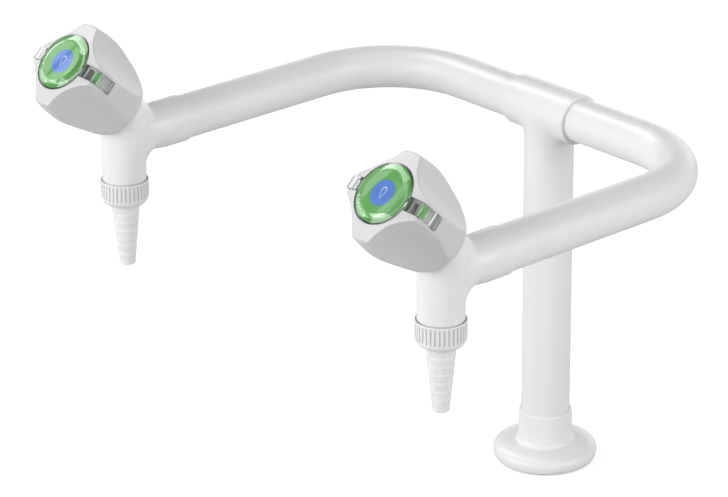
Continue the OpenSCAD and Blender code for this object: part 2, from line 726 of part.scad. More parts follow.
// Transparent cap: skirt, flat underside, bevelled ring, domed window and two side clips
module clear_cap() {
    cap_r = cap_d / 2;
    window_r = window_d / 2;
    rim_at = cap_under + cap_rim_h;
    ring_top = rim_at + cap_ring_h;
    dome_r = (window_r * window_r + cap_dome_h * cap_dome_h) / (2 * cap_dome_h);
    skirt_end = deck_at + deck_t + face_gap;
    color(clear_plastic) on_knob_axis() union() {
        rotate_extrude() polygon([
            [0, cap_under], [cap_r - skirt_t, cap_under], [cap_r - skirt_t, skirt_end],
            [cap_r, skirt_end], [cap_r, rim_at], [window_r, ring_top],
            [window_r, ring_top - 0.3], [0, ring_top - 0.3]
        ]);
        rotate_extrude() intersection() {
            translate([0, ring_top - 0.3 + cap_dome_h - dome_r]) circle(r = dome_r, $fn = 360);
            translate([0, ring_top - cap_ring_h]) square([window_r, cap_ring_h + cap_dome_h]);
        }
        clips();
    }
}

function barb_d(share) = nozzle_top_d + (nozzle_tip_d - nozzle_top_d) * share;

// Nozzle with a collar, a neck through the nut and a row of barbs
module hose_nozzle() {
    top_r = nozzle_top_d / 2;
    tip_r = nozzle_tip_d / 2;
    barb_l = (nozzle_l - plain_l) / barbs;
    color(nozzle_white) difference() {
        rotate_extrude() polygon(concat(
            [[0, collar_top], [collar_d / 2, collar_top], [collar_d / 2, collar_under]],
            [[neck_of_nozzle_d / 2, collar_under], [neck_of_nozzle_d / 2, nut_bottom - plain_top + neck_over]],
            [for (i = [0 : barbs - 1], lower = [0, 1])
                [barb_d((i + lower) / barbs) / 2 + (lower == 0 ? barb_step : 0) / 2,
                    nut_bottom - plain_top - (i + lower) * barb_l + lower * barb_rise]],
            [for (a = [0 : 30 : 90])
                [tip_r - tip_round * (1 - cos(a)), tip_z + tip_round * (1 - sin(a))]],
            [[0, tip_z]]
        ));
        translate([0, 0, tip_z - cut]) cylinder(d = nozzle_bore, h = collar_top - tip_z + 2 * cut);
        translate([0, 0, collar_top - nozzle_mouth_l])
            cylinder(d1 = nozzle_bore, d2 = spout_way_d - 2 * mouth_in, h = nozzle_mouth_l);
    }
}

module nozzle_seal() {
    color(seal_black)
        tube_between(collar_d, spout_way_d, collar_top, collar_top + nozzle_seal_t);
}

// Revolved outside of the coupling nut, drawn in by inset
module nut_shape(inset) {
    r = nut_d / 2 - inset;
    low_r = neck_of_nozzle_d / 2 + nut_flat - inset;
    rotate_extrude() polygon(concat(
        [[0, nut_bottom], [low_r, nut_bottom]],
        [for (a = [15 : 15 : 90])
            [low_r + (r - low_r) * sin(a), nut_bottom + nut_round * (1 - cos(a))]],
        [[r, nut_top - 1], [0, nut_top - 1]]
    ));
}

// Outline of the ribs round the nut, from inside the grooves to past the ribs' tips
function fin_points(inner, outer, count, share) = [
    for (i = [0 : count - 1], corner = [0 : 3])
        let (
            half = 180 / count * share,
            a = i * 360 / count + (corner < 2 ? -half : half),
            r = (corner == 1 || corner == 2) ? outer : inner
        ) [r * cos(a), r * sin(a)]
];

// Ribbed union nut: fins all round, a smooth rim that laps the spout, and a threaded bore
module coupling_nut() {
    r = nut_d / 2;
    color(nozzle_white) difference() {
        union() {
            nut_shape(rib_depth);
            intersection() {
                nut_shape(0);
                translate([0, 0, nut_bottom + rib_foot])
                    linear_extrude(nut_top - nut_rim_h - nut_bottom - rib_foot + nut_rim_bevel)
                        polygon(fin_points(r - 2 * rib_depth, r + cut, nut_ribs, rib_share));
            }
            translate([0, 0, nut_top - nut_rim_h]) rotate_extrude() polygon([
                [0, 0], [r, 0], [r, nut_rim_h - nut_rim_bevel],
                [r - nut_rim_bevel, nut_rim_h], [0, nut_rim_h]
            ]);
        }
        translate([0, 0, nut_seat])
            cylinder(d = tail_d + 2 * running_gap, h = nut_top - nut_seat + cut);
        translate([0, 0, -spout_drop - face_gap])
            cylinder(d = spout_d + 2 * running_gap, h = nut_lap + face_gap + cut);
        translate([0, 0, nut_bottom - cut])
            cylinder(d = neck_of_nozzle_d + 2 * running_gap, h = nut_floor + 2 * cut);
    }
}

base_flange();
foot_gasket();
column();
tee();
mirror([1, 0, 0]) arm();  // left_arm
arm();  // right_arm

at_outlet(left) valve_body();  // left_valve_body
at_outlet(left) seat_seal();  // left_seat_seal
at_outlet(left) ceramic_disc(fixed_disc_at, 0);  // left_fixed_disc
at_outlet(left) ceramic_disc(turning_disc_at, 90);  // left_turning_disc
at_outlet(left) bonnet();  // left_bonnet
at_outlet(left) spindle();  // left_spindle
at_outlet(left) spindle_rings();  // left_spindle_rings
at_outlet(left) knob();  // left_knob
at_outlet(left) knob_screw();  // left_knob_screw
at_outlet(left) media_disc();  // left_media_disc
at_outlet(left) media_centre();  // left_media_centre
at_outlet(left) side_markers();  // left_side_markers
at_outlet(left) clear_cap();  // left_clear_cap
at_outlet(left) hose_nozzle();  // left_hose_nozzle
at_outlet(left) nozzle_seal();  // left_nozzle_seal
at_outlet(left) coupling_nut();  // left_coupling_nut

at_outlet(right) valve_body();  // right_valve_body
at_outlet(right) seat_seal();  // right_seat_seal
at_outlet(right) ceramic_disc(fixed_disc_at, 0);  // right_fixed_disc
at_outlet(right) ceramic_disc(turning_disc_at, 90);  // right_turning_disc
at_outlet(right) bonnet();  // right_bonnet
at_outlet(right) spindle();  // right_spindle
at_outlet(right) spindle_rings();  // right_spindle_rings
at_outlet(right) knob();  // right_knob
at_outlet(right) knob_screw();  // right_knob_screw
at_outlet(right) media_disc();  // right_media_disc
at_outlet(right) media_centre();  // right_media_centre
at_outlet(right) side_markers();  // right_side_markers
at_outlet(right) clear_cap();  // right_clear_cap
at_outlet(right) hose_nozzle();  // right_hose_nozzle
at_outlet(right) nozzle_seal();  // right_nozzle_seal
at_outlet(right) coupling_nut();  // right_coupling_nut
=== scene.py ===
import math

import bmesh
import bpy
import numpy as np
from mathutils import Matrix, Vector

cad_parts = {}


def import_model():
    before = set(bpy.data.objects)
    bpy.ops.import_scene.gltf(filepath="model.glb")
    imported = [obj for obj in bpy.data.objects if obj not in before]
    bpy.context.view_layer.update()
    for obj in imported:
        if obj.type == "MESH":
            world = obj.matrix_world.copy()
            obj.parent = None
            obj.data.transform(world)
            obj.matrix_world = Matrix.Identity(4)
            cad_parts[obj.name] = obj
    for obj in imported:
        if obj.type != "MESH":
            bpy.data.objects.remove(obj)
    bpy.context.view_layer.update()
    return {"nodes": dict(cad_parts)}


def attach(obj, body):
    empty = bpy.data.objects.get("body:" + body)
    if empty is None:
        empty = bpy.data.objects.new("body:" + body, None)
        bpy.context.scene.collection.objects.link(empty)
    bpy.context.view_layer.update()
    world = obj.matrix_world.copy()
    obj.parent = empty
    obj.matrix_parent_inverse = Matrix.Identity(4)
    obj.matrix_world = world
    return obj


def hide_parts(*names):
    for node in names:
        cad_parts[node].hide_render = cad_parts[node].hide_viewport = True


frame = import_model()

# Sizes in millimetres. They follow the part's source, apart from the nut's ribs and rim, the spout's lip and the
# nozzle's fainter steps.
OUTLET_X, REACH, ARM_H = 129.5, 201.3, 215.0
BEND_R, ARM_R, ARM_WALL, ARM_START = 57.0, 12.25, 1.75, 8.0
COLUMN_R, COLUMN_BORE, COLUMN_SEAT, TEE_DROP = 14.0, 11.5, 16.0, 18.0
TEE_R, TEE_HALF = 14.25, 24.0
SPIGOT_R, SPIGOT_BORE, SPIGOT_L = 11.47, 9.47, 14.0
FLANGE_R, FLANGE_H, RIM_Z = 30.0, 10.6, 4.5
SLEEVE_R, SLEEVE_TOP, SLEEVE_CHAMFER = 15.5, 30.6, 0.9
UNDER_IN, CROWN_POWER, CROWN_FILLET = 2.5, 0.8, 2.4
INLET_R, INLET_DEPTH, INLET_CHAMFER, INLET_STEP = 9.315, 13.0, 0.6, 2.0
GROOVE_IN, GROOVE_OUT, GROOVE_DEPTH = 18.85, 24.15, 1.55
SPOUT_R, BARREL_R, BARREL_BACK, BARREL_CONE, SOCKET_END = 12.25, 13.1, 40.0, 8.0, 26.0
ELBOW_R, SPOUT_DROP, TAIL_L, TAIL_R, TAIL_BORE, BORE_END = 18.0, 27.0, 7.6, 10.45, 6.0, -8.0
CROSS_UP, TILT, BOSS_R, BOSS_TOP = 14.0, math.radians(45), 12.3, 3.6
SEAT_R, SEAT_DEPTH = 9.0, 9.0
NUT_TOP, NUT_SEAT, NUT_BOTTOM = -25.5, -37.8, -39.8
NUT_R, RIB_DEPTH, RIBS, NUT_ROUND = 13.4, 0.8, 36, 6.0
NUT_GAP, RIM_DEPTH = 0.6, 0.3
LIP_UP, LIP_IN = 0.7, 0.7
COLLAR_TOP, COLLAR_UNDER, TIP = -36.15, -37.75, -76.1
COLLAR_R, NECK_R, NOZZLE_TOP_R, NOZZLE_TIP_R = 10.15, 8.15, 7.95, 4.5
MOUTH_R, NOZZLE_BORE, BARBS, BARB_STEP = 5.5, 3.0, 7, 0.15
KNOB_R, SIDE_R, WIDEST, KNOB_BASE, SHOULDER, FACE = 26.55, 68.0, 38.3, 4.4, 51.0, 53.2
FLANK_AT, FLANK_R, FLANK_SPREAD = 19.4, 36.0, math.radians(-0.8)
FACET_AT, FACET_LEAN = 17.8, math.radians(17.4)
FLANK_BLEND, FACET_BLEND = 0.5, 0.45
HOLLOW_LOW, HOLLOW_HIGH = 12.5, 30.0
DECK, DECK_T, HUB_R, HUB_BOTTOM, KNOB_WALL = 44.0, 3.0, 7.0, 17.6, 2.4
SCREW_HOLE_R, SOCKET_R, KNOB_EDGE, FACE_START = 4.4, 4.3, 0.9, 0.6
CAP_R, CAP_UNDER, RIM_H, RING_H, DOME_H, WINDOW_R, SKIRT_T = 16.9, 52.6, 1.3, 1.5, 0.9, 12.5, 1.1
SLOT_W, SLOT_DEPTH, SLOT_END, MARKER_AT = 8.0, 3.9, 37.2, 45.9
CLIP_T, CLIP_PROUD, CLIP_DIP = 2.3, 0.9, 1.2
TICK_IN, TICK_OUT, TICK_LONG, PRINT_T, PRINT_Z = 12.9, 14.0, 14.6, 0.02, CAP_UNDER - 0.045

# Gaps between faces that meet, and places beyond the knob
FIT, LOOSE = 0.03, 0.05
BEYOND_R, BEYOND_S, MISS = 40.0, 60.0, 60.0

# A flank or facet of the knob cuts no further than this to each side, in radians
CUT_HALF_ANGLE = 1.2

# Sides of the round forms
FINE, MEDIUM, COARSE, ARM_SIDES, KNOB_SIDES, RIB_SIDES = 160, 144, 128, 96, 432, 18


# Meshes

def smooth(x):
    return x * x * (3 - 2 * x)


def add_object(name, data):
    obj = bpy.data.objects.new(name, data)
    bpy.context.scene.collection.objects.link(obj)
    return obj


def weld(mesh, gap):
    """Merges points closer than the gap and turns the faces one way."""
    bm = bmesh.new()
    bm.from_mesh(mesh)
    bmesh.ops.remove_doubles(bm, verts=bm.verts, dist=gap)
    bmesh.ops.recalc_face_normals(bm, faces=bm.faces)
    bm.to_mesh(mesh)
    bm.free()


def piece(name, verts, faces, body, slot, mat, place=None, angle=38, cad=()):
    """A mesh piece from points in millimetres; place maps them into the row frame."""
    verts = np.asarray(verts, float)
    if place is not None:
        verts = verts @ place[:3, :3].T + place[:3, 3]
    mesh = bpy.data.meshes.new(name)
    mesh.from_pydata((verts * 0.001).tolist(), [], faces)
    mesh.validate()
    weld(mesh, 2e-6)
    mesh.shade_smooth()
    mesh.set_sharp_from_angle(angle=math.radians(angle))
    obj = add_object(name, mesh)
    mesh.materials.append(mat)
    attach(obj, body)
    if cad:
        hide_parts(*cad)


def lathe(rows, n, closed=True):
    """Rings of n points round Z. A row is a radius and a height, each one number or one per point."""
    a = np.linspace(0, 2 * math.pi, n, endpoint=False)
    verts = [np.stack([r * np.cos(a), r * np.sin(a), np.broadcast_to(z, n)], -1) for r, z in rows]
    m = len(rows)
    faces = []
    for i in range(m if closed else m - 1):
        k = (i + 1) % m
        for j in range(n):
            l = (j + 1) % n
            faces.append((i * n + j, i * n + l, k * n + l, k * n + j))
    return np.concatenate(verts), faces


def rounded(points, closed=True, seg=5):
    """The profile with each corner (x, y, radius) rounded."""
    out = []
    m = len(points)
    for i, p in enumerate(points):
        x, y = p[0], p[1]
        r = p[2] if len(p) > 2 else 0
        if r <= 0 or (not closed and i in (0, m - 1)):
            out.append((x, y))
            continue
        a = np.array(points[i - 1][:2], float) - (x, y)
        b = np.array(points[(i + 1) % m][:2], float) - (x, y)
        la, lb = np.linalg.norm(a), np.linalg.norm(b)
        a, b = a / la, b / lb
        half = math.acos(np.clip(a @ b, -1, 1)) / 2
        t = min(r / math.tan(half), la * 0.49, lb * 0.49)
        r = t * math.tan(half)
        mid = (a + b) / np.linalg.norm(a + b)
        c = np.array([x, y]) + mid * r / math.sin(half)
        s, e = np.array([x, y]) + a * t - c, np.array([x, y]) + b * t - c
        th0, th1 = math.atan2(s[1], s[0]), math.atan2(e[1], e[0])
        d = (th1 - th0 + math.pi) % (2 * math.pi) - math.pi
        for k in range(seg + 1):
            th = th0 + d * k / seg
            out.append((c[0] + r * math.cos(th), c[1] + r * math.sin(th)))
    return out


def shell(points, n):
    """An open lathed skin of a profile with rounded corners."""
    return lathe(rounded(points, closed=False), n, closed=False)


def join(*parts):
    verts, faces, base = [], [], 0
    for v, f in parts:
        v = np.asarray(v, float)
        verts.append(v)
        faces += [tuple(i + base for i in face) for face in f]
        base += len(v)
    return np.concatenate(verts), faces


def turned(part, matrix):
    v, f = part
    return np.asarray(v) @ matrix[:3, :3].T + matrix[:3, 3], f


def rot_x(a):
    m = np.eye(4)
    m[1:3, 1:3] = [[math.cos(a), -math.sin(a)], [math.sin(a), math.cos(a)]]
    return m


def rot_y(a):
    m = np.eye(4)
    m[0, 0], m[0, 2], m[2, 0], m[2, 2] = math.cos(a), math.sin(a), -math.sin(a), math.cos(a)
    return m


def shift(x, y, z):
    m = np.eye(4)
    m[:3, 3] = (x, y, z)
    return m


def at_outlet(side):
    return shift(side * OUTLET_X, -REACH, ARM_H)


KNOB_FRAME = shift(0, 0, CROSS_UP) @ rot_x(TILT)
SIDES = (("left", -1), ("right", 1))


def sweep(path, tangents, radius, n):
    """Rings round a level path; the ring's axes are the level normal and +Z."""
    a = np.linspace(0, 2 * math.pi, n, endpoint=False)
    verts = []
    for p, t in zip(path, tangents):
        side = np.cross(t, (0, 0, 1))
        verts.append(np.asarray(p) + radius * (np.outer(np.cos(a), side) + np.outer(np.sin(a), (0, 0, 1))))
    faces = []
    for i in range(len(path) - 1):
        for j in range(n):
            l = (j + 1) % n
            faces.append((i * n + j, (i + 1) * n + j, (i + 1) * n + l, i * n + l))
    return np.concatenate(verts), faces


# Materials

# Sockets of a mix node in its colour mode
MIX_FACTOR, MIX_A, MIX_B, MIX_OUT = 0, 6, 7, 2


def colour_mix(nodes):
    mix = nodes.new("ShaderNodeMix")
    mix.data_type = "RGBA"
    return mix


def procedural(name, colour, rough=0.3, spread=0.02, tone=0.03, scale=60.0, bump=0.02, bump_scale=900.0,
               coat=0.0, wear=0.0, wear_colour=(0.6, 0.6, 0.6), metallic=0.0, ior=1.5):
    """A material whose colour, roughness and relief vary over the surface; wear is the strength of its specks."""
    mat = bpy.data.materials.new(name)
    mat.use_nodes = True
    nodes, links = mat.node_tree.nodes, mat.node_tree.links
    nodes.clear()
    out = nodes.new("ShaderNodeOutputMaterial")
    bsdf = nodes.new("ShaderNodeBsdfPrincipled")
    links.new(bsdf.outputs["BSDF"], out.inputs["Surface"])
    coord = nodes.new("ShaderNodeTexCoord")

    def noise(sc, detail, distortion=0.0):
        n = nodes.new("ShaderNodeTexNoise")
        n.inputs["Scale"].default_value = sc
        n.inputs["Detail"].default_value = detail
        n.inputs["Distortion"].default_value = distortion
        links.new(coord.outputs["Object"], n.inputs["Vector"])
        return n

    def ramp(src, lo, hi, a, b):
        m = nodes.new("ShaderNodeMapRange")
        m.inputs["From Min"].default_value = lo
        m.inputs["From Max"].default_value = hi
        m.inputs["To Min"].default_value = a
        m.inputs["To Max"].default_value = b
        links.new(src, m.inputs["Value"])
        return m.outputs["Result"]

    broad = noise(scale, 3.0, 0.3)
    fine = noise(scale * 7, 4.0)
    low = tuple(max(0.0, c * (1 - tone)) for c in colour)
    high = tuple(min(1.0, c * (1 + tone)) for c in colour)
    mix = colour_mix(nodes)
    mix.inputs[MIX_A].default_value = (*low, 1)
    mix.inputs[MIX_B].default_value = (*high, 1)
    links.new(ramp(broad.outputs["Fac"], 0.3, 0.7, 0.0, 1.0), mix.inputs[MIX_FACTOR])
    colour_out = mix.outputs[MIX_OUT]
    if wear:
        speck = noise(scale * 20, 6.0)
        spots = colour_mix(nodes)
        spots.inputs[MIX_B].default_value = (*wear_colour, 1)
        links.new(colour_out, spots.inputs[MIX_A])
        links.new(ramp(speck.outputs["Fac"], 0.66, 0.74, 0.0, wear), spots.inputs[MIX_FACTOR])
        colour_out = spots.outputs[MIX_OUT]
    links.new(colour_out, bsdf.inputs["Base Color"])
    links.new(ramp(fine.outputs["Fac"], 0.3, 0.7, max(0.02, rough - spread), rough + spread),
              bsdf.inputs["Roughness"])
    bsdf.inputs["Metallic"].default_value = metallic
    bsdf.inputs["IOR"].default_value = ior
    if coat:
        bsdf.inputs["Coat Weight"].default_value = coat
        bsdf.inputs["Coat Roughness"].default_value = 0.28
    if bump:
        grain = noise(bump_scale, 3.0)
        waves = noise(scale * 2.2, 2.0)
        add = nodes.new("ShaderNodeMath")
        add.operation = "MULTIPLY_ADD"
        add.inputs[1].default_value = 2.0
        links.new(waves.outputs["Fac"], add.inputs[0])
        links.new(grain.outputs["Fac"], add.inputs[2])
        b = nodes.new("ShaderNodeBump")
        b.inputs["Strength"].default_value = bump
        b.inputs["Distance"].default_value = 0.0004
        links.new(add.outputs[0], b.inputs["Height"])
        links.new(b.outputs["Normal"], bsdf.inputs["Normal"])
    return mat


def clear(name, tint=(0.97, 0.99, 0.985)):
    """Polished clear plastic with faint moulding waves and fine scuffs."""
    mat = procedural(name, tint, rough=0.035, spread=0.012, tone=0.01, scale=90, bump=0.03, bump_scale=300,
                     ior=1.49)
    mat.node_tree.nodes["Principled BSDF"].inputs["Transmission Weight"].default_value = 1.0
    return mat


COAT = procedural("coated_white", (0.80, 0.80, 0.80), rough=0.38, spread=0.03, tone=0.008, scale=30, bump=0.03,
                  bump_scale=500, coat=0.08, wear=0.02, wear_colour=(0.74, 0.74, 0.735))
KNOB = procedural("knob_plastic", (0.63, 0.63, 0.63), rough=0.42, spread=0.04, tone=0.012, scale=35, bump=0.06,
                  bump_scale=1200, wear=0.02, wear_colour=(0.59, 0.59, 0.59))
NOZZLE = procedural("nozzle_plastic", (0.80, 0.80, 0.795), rough=0.32, spread=0.03, tone=0.01, scale=50,
                    bump=0.04, bump_scale=900, wear=0.02, wear_colour=(0.74, 0.74, 0.73))
GREEN = procedural("media_green", (0.13, 0.52, 0.08), rough=0.35, spread=0.03, tone=0.05, scale=120, bump=0.03,
                   bump_scale=1500)
BLUE = procedural("media_blue", (0.08, 0.26, 0.90), rough=0.35, spread=0.03, tone=0.05, scale=120, bump=0.03,
                  bump_scale=1500)
PRINT = procedural("print_white", (0.82, 0.85, 0.88), rough=0.4, spread=0.03, tone=0.03, scale=120, bump=0.03,
                   bump_scale=1500)
RUBBER = procedural("seal_rubber", (0.022, 0.022, 0.023), rough=0.62, spread=0.08, tone=0.15, scale=80,
                    bump=0.25, bump_scale=1200, wear=0.3, wear_colour=(0.08, 0.08, 0.08))
BRASS = procedural("turned_brass", (0.70, 0.47, 0.17), rough=0.27, spread=0.08, tone=0.08, scale=90, bump=0.12,
                   bump_scale=1100, metallic=1.0, wear=0.25, wear_colour=(0.42, 0.27, 0.10))
CERAMIC = procedural("lapped_ceramic", (0.78, 0.75, 0.66), rough=0.16, spread=0.03, tone=0.02, scale=90,
                     bump=0.03, bump_scale=1800)
STEEL = procedural("screw_steel", (0.55, 0.55, 0.56), rough=0.30, spread=0.08, tone=0.06, scale=120, bump=0.12,
                   bump_scale=1500, metallic=1.0)
CLEAR = clear("clear_cap_plastic")


# Foot flange and column

def flange():
    crown = SLEEVE_R + CROWN_FILLET
    outer = [(FLANGE_R - UNDER_IN * (1 - math.cos(a)), RIM_Z * (1 + math.sin(a)))
             for a in np.radians(np.linspace(-88, -6, 14))]
    outer += [(crown + (FLANGE_R - crown) * abs(math.cos(a)) ** CROWN_POWER,
               RIM_Z + (FLANGE_H - RIM_Z) * math.sin(a) ** CROWN_POWER)
              for a in np.radians(np.linspace(0, 90, 40))]
    outer += [(crown - CROWN_FILLET * math.sin(a), FLANGE_H + CROWN_FILLET * (1 - math.cos(a)))
              for a in np.radians(np.linspace(8, 90, 12))]
    top = rounded([(SLEEVE_R, FLANGE_H + 3), (SLEEVE_R, SLEEVE_TOP - SLEEVE_CHAMFER, 0.5),
                   (SLEEVE_R - SLEEVE_CHAMFER, SLEEVE_TOP, 0.4), (COLUMN_R + FIT, SLEEVE_TOP, 0.2),
                   (COLUMN_R + FIT, COLUMN_SEAT), (INLET_R - INLET_STEP, COLUMN_SEAT),
                   (INLET_R - INLET_STEP, INLET_DEPTH), (INLET_R, INLET_DEPTH)], closed=False)
    under = [(INLET_R, INLET_CHAMFER), (INLET_R + INLET_CHAMFER, 0), (GROOVE_IN, 0), (GROOVE_IN, GROOVE_DEPTH),
             (GROOVE_OUT, GROOVE_DEPTH), (GROOVE_OUT, 0), (FLANGE_R - UNDER_IN - 0.1, 0)]
    return lathe(outer + top + under, FINE)


piece("foot_flange", *flange(), "tap", "coated_white", COAT, cad=["base_flange"])
column_profile = rounded([(COLUMN_BORE, COLUMN_SEAT, 0.3), (COLUMN_R, COLUMN_SEAT, 0.3),
                          (COLUMN_R, ARM_H - TEE_DROP, 0.12), (COLUMN_BORE, ARM_H - TEE_DROP, 0.12)])
piece("column_tube", *lathe(column_profile, MEDIUM), "tap", "coated_white", COAT, cad=["column"])


# Cast forms: blended distances, onto which a fine mesh is settled

CELL, RELAX_ROUNDS = 0.9, 4
BARREL_BLEND, BOSS_BLEND, TEE_BLEND = 4.0, 6.0, 4.0


def smin(a, b, k):
    h = np.maximum(k - np.abs(a - b), 0) / k
    return np.minimum(a, b) - h * h * k * 0.25


def settle(verts, field, rounds):
    """Moves points along the field's gradient onto its zero surface."""
    p = np.array(verts, float)
    e = 0.02
    for _ in range(rounds):
        f = field(p)
        g = np.stack([(field(p + d) - field(p - d)) / (2 * e) for d in np.eye(3) * e], -1)
        g2 = np.maximum((g * g).sum(-1), 0.05)
        p -= (f / g2)[:, None] * g
    return p


def skin(field, low, high):
    """A mesh of the field's zero surface: the outer faces of the inside cells, settled onto it."""
    axes = [np.arange(a, b + CELL, CELL) for a, b in zip(low, high)]
    gx, gy, gz = np.meshgrid(*axes, indexing="ij")
    inside = field(np.stack([gx, gy, gz], -1).reshape(-1, 3)).reshape(gx.shape) < 0
    index, verts, faces = {}, [], []

    def corner(i, j, k):
        key = (i, j, k)
        if key not in index:
            index[key] = len(verts)
            verts.append((axes[0][0] + (i - 0.5) * CELL, axes[1][0] + (j - 0.5) * CELL,
                          axes[2][0] + (k - 0.5) * CELL))
        return index[key]

    shape = inside.shape
    for axis in range(3):
        other = [a for a in range(3) if a != axis]
        for sign in (-1, 1):
            moved = np.zeros_like(inside)
            src = [slice(None)] * 3
            dst = [slice(None)] * 3
            if sign > 0:
                dst[axis], src[axis] = slice(0, shape[axis] - 1), slice(1, None)
            else:
                dst[axis], src[axis] = slice(1, None), slice(0, shape[axis] - 1)
            moved[tuple(dst)] = inside[tuple(src)]
            for cell in np.argwhere(inside & ~moved):
                base = list(cell)
                if sign > 0:
                    base[axis] += 1
                quad = []
                for du, dv in ((0, 0), (1, 0), (1, 1), (0, 1)):
                    c = list(base)
                    c[other[0]] += du
                    c[other[1]] += dv
                    quad.append(corner(*c))
                if (sign > 0) != (axis == 1):
                    faces.append(tuple(quad))
                else:
                    faces.append(tuple(quad[::-1]))
    verts = np.array(verts)
    edges = set()
    for f in faces:
        for a, b in zip(f, f[1:] + f[:1]):
            edges.add((min(a, b), max(a, b)))
    edges = np.array(sorted(edges))
    for _ in range(RELAX_ROUNDS):
        total = np.zeros_like(verts)
        count = np.zeros(len(verts))
        for a, b in ((0, 1), (1, 0)):
            np.add.at(total, edges[:, a], verts[edges[:, b]])
            np.add.at(count, edges[:, a], 1)
        verts = verts * 0.4 + total / count[:, None] * 0.6
        verts = settle(verts, field, 3)
    return settle(verts, field, 6), faces


def cut(part, cuts):
    """The part without what lies beyond each (point, outward normal) plane."""
    bm = bmesh.new()
    made = [bm.verts.new(v) for v in part[0]]
    for f in part[1]:
        bm.faces.new([made[i] for i in f])
    for point, normal in cuts:
        bmesh.ops.bisect_plane(bm, geom=bm.verts[:] + bm.edges[:] + bm.faces[:], dist=1e-4, plane_co=point,
                               plane_no=normal, clear_outer=True)
    bm.verts.ensure_lookup_table()
    bm.verts.index_update()
    out = np.array([v.co[:] for v in bm.verts]), [tuple(v.index for v in f.verts) for f in bm.faces]
    bm.free()
    return out


AXIS = np.array([0, -math.sin(TILT), math.cos(TILT)])
CROSS = np.array([0, 0, CROSS_UP])


def body_field(p):
    """Valve body: spout with its inclined front end, barrel, elbow and boss."""
    x, y, z = p[:, 0], p[:, 1], p[:, 2]
    spout = np.hypot(x, y) - SPOUT_R
    s = (p - CROSS) @ AXIS
    t = -(y * math.cos(TILT) + (z - CROSS_UP) * math.sin(TILT))
    low = np.maximum(spout, z)
    front = np.maximum(np.maximum(spout, -t), s - 2.8)
    spout = np.minimum(low, front)
    reach = np.clip((y - ELBOW_R + 2) / (BARREL_CONE + 2), 0, 1)
    barrel = np.maximum(np.hypot(x, z) - (SPOUT_R + (BARREL_R - SPOUT_R) * smooth(reach)), -y)
    side = np.hypot(x, t)
    boss = np.maximum(side - np.clip(BOSS_R + (s + 8) * 0.8, 3, BOSS_R), -18 - s)
    # the inner side of the elbow
    ring = np.hypot(y - ELBOW_R, z + ELBOW_R)
    elbow = np.hypot(ring - ELBOW_R, x) - SPOUT_R
    elbow = np.where((y < ELBOW_R + 1) & (z > -ELBOW_R - 1), elbow, 50)
    main = smin(spout, barrel, BARREL_BLEND)
    main = np.minimum(main, elbow)
    return smin(main, boss, BOSS_BLEND)


def valve_body():
    end, lip, boss_end = BARREL_BACK - 0.6, NUT_TOP + LIP_UP, BOSS_TOP - 0.8
    big = skin(body_field, (-17, -17, -31), (17, 44, 34))
    big = cut(big, [((0, end, 0), (0, 1, 0)), ((0, 0, lip), (0, 0, -1)),
                    (tuple(CROSS + AXIS * boss_end), tuple(AXIS))])
    rim = shell([(BARREL_R, end), (BARREL_R, BARREL_BACK - 0.25, 0.25), (BARREL_R - 0.5, BARREL_BACK, 0.4),
                 (ARM_R + FIT, BARREL_BACK, 0.1), (ARM_R + FIT, SOCKET_END)], MEDIUM)
    tail = shell([(SPOUT_R, lip), (SPOUT_R, lip - 0.3, 0.2), (SPOUT_R - LIP_IN, lip - 0.8, 0.2),
                  (SPOUT_R - LIP_IN, -SPOUT_DROP, 0.2), (TAIL_R, -SPOUT_DROP),
                  (TAIL_R, -SPOUT_DROP - TAIL_L, 0.4), (TAIL_BORE, -SPOUT_DROP - TAIL_L, 0.3),
                  (TAIL_BORE, BORE_END)], COARSE)
    top = shell([(BOSS_R, boss_end), (BOSS_R, BOSS_TOP - 0.6, 0.3), (BOSS_R - 0.6, BOSS_TOP, 0.3),
                 (SEAT_R, BOSS_TOP, 0.1), (SEAT_R, -SEAT_DEPTH), (0.01, -SEAT_DEPTH)], COARSE)
    return join(big, turned(rim, rot_x(-math.pi / 2)), tail, turned(top, KNOB_FRAME))


BODY_MESH = valve_body()


# Tee: crosspiece and branch run softly into each other

def tee_field(p):
    x, y, z = p[:, 0], p[:, 1], p[:, 2]
    cross = np.hypot(y, z) - TEE_R
    branch = np.maximum(np.hypot(x, y) - COLUMN_R, z)
    return smin(cross, branch, TEE_BLEND)


def tee():
    end = TEE_HALF - 0.7
    big = skin(tee_field, (-28, -17, -22), (28, 17, 17))
    big = cut(big, [((end, 0, 0), (1, 0, 0)), ((-end, 0, 0), (-1, 0, 0)), ((0, 0, -TEE_DROP), (0, 0, -1))])
    rim = shell([(TEE_R, end), (TEE_R, TEE_HALF - 0.2, 0.3), (TEE_R - 0.5, TEE_HALF, 0.4),
                 (ARM_R + FIT, TEE_HALF, 0.1), (ARM_R + FIT, ARM_START)], MEDIUM)
    spigot = shell([(COLUMN_R, -TEE_DROP), (SPIGOT_R, -TEE_DROP), (SPIGOT_R, -TEE_DROP - SPIGOT_L),
                    (SPIGOT_BORE, -TEE_DROP - SPIGOT_L), (SPIGOT_BORE, -TEE_DROP)], COARSE)
    return join(big, turned(rim, rot_y(math.pi / 2)), turned(rim, rot_y(-math.pi / 2)), spigot)


piece("tee_cross", *tee(), "tap", "coated_white", COAT, place=shift(0, 0, ARM_H), cad=["tee"])


# Arms

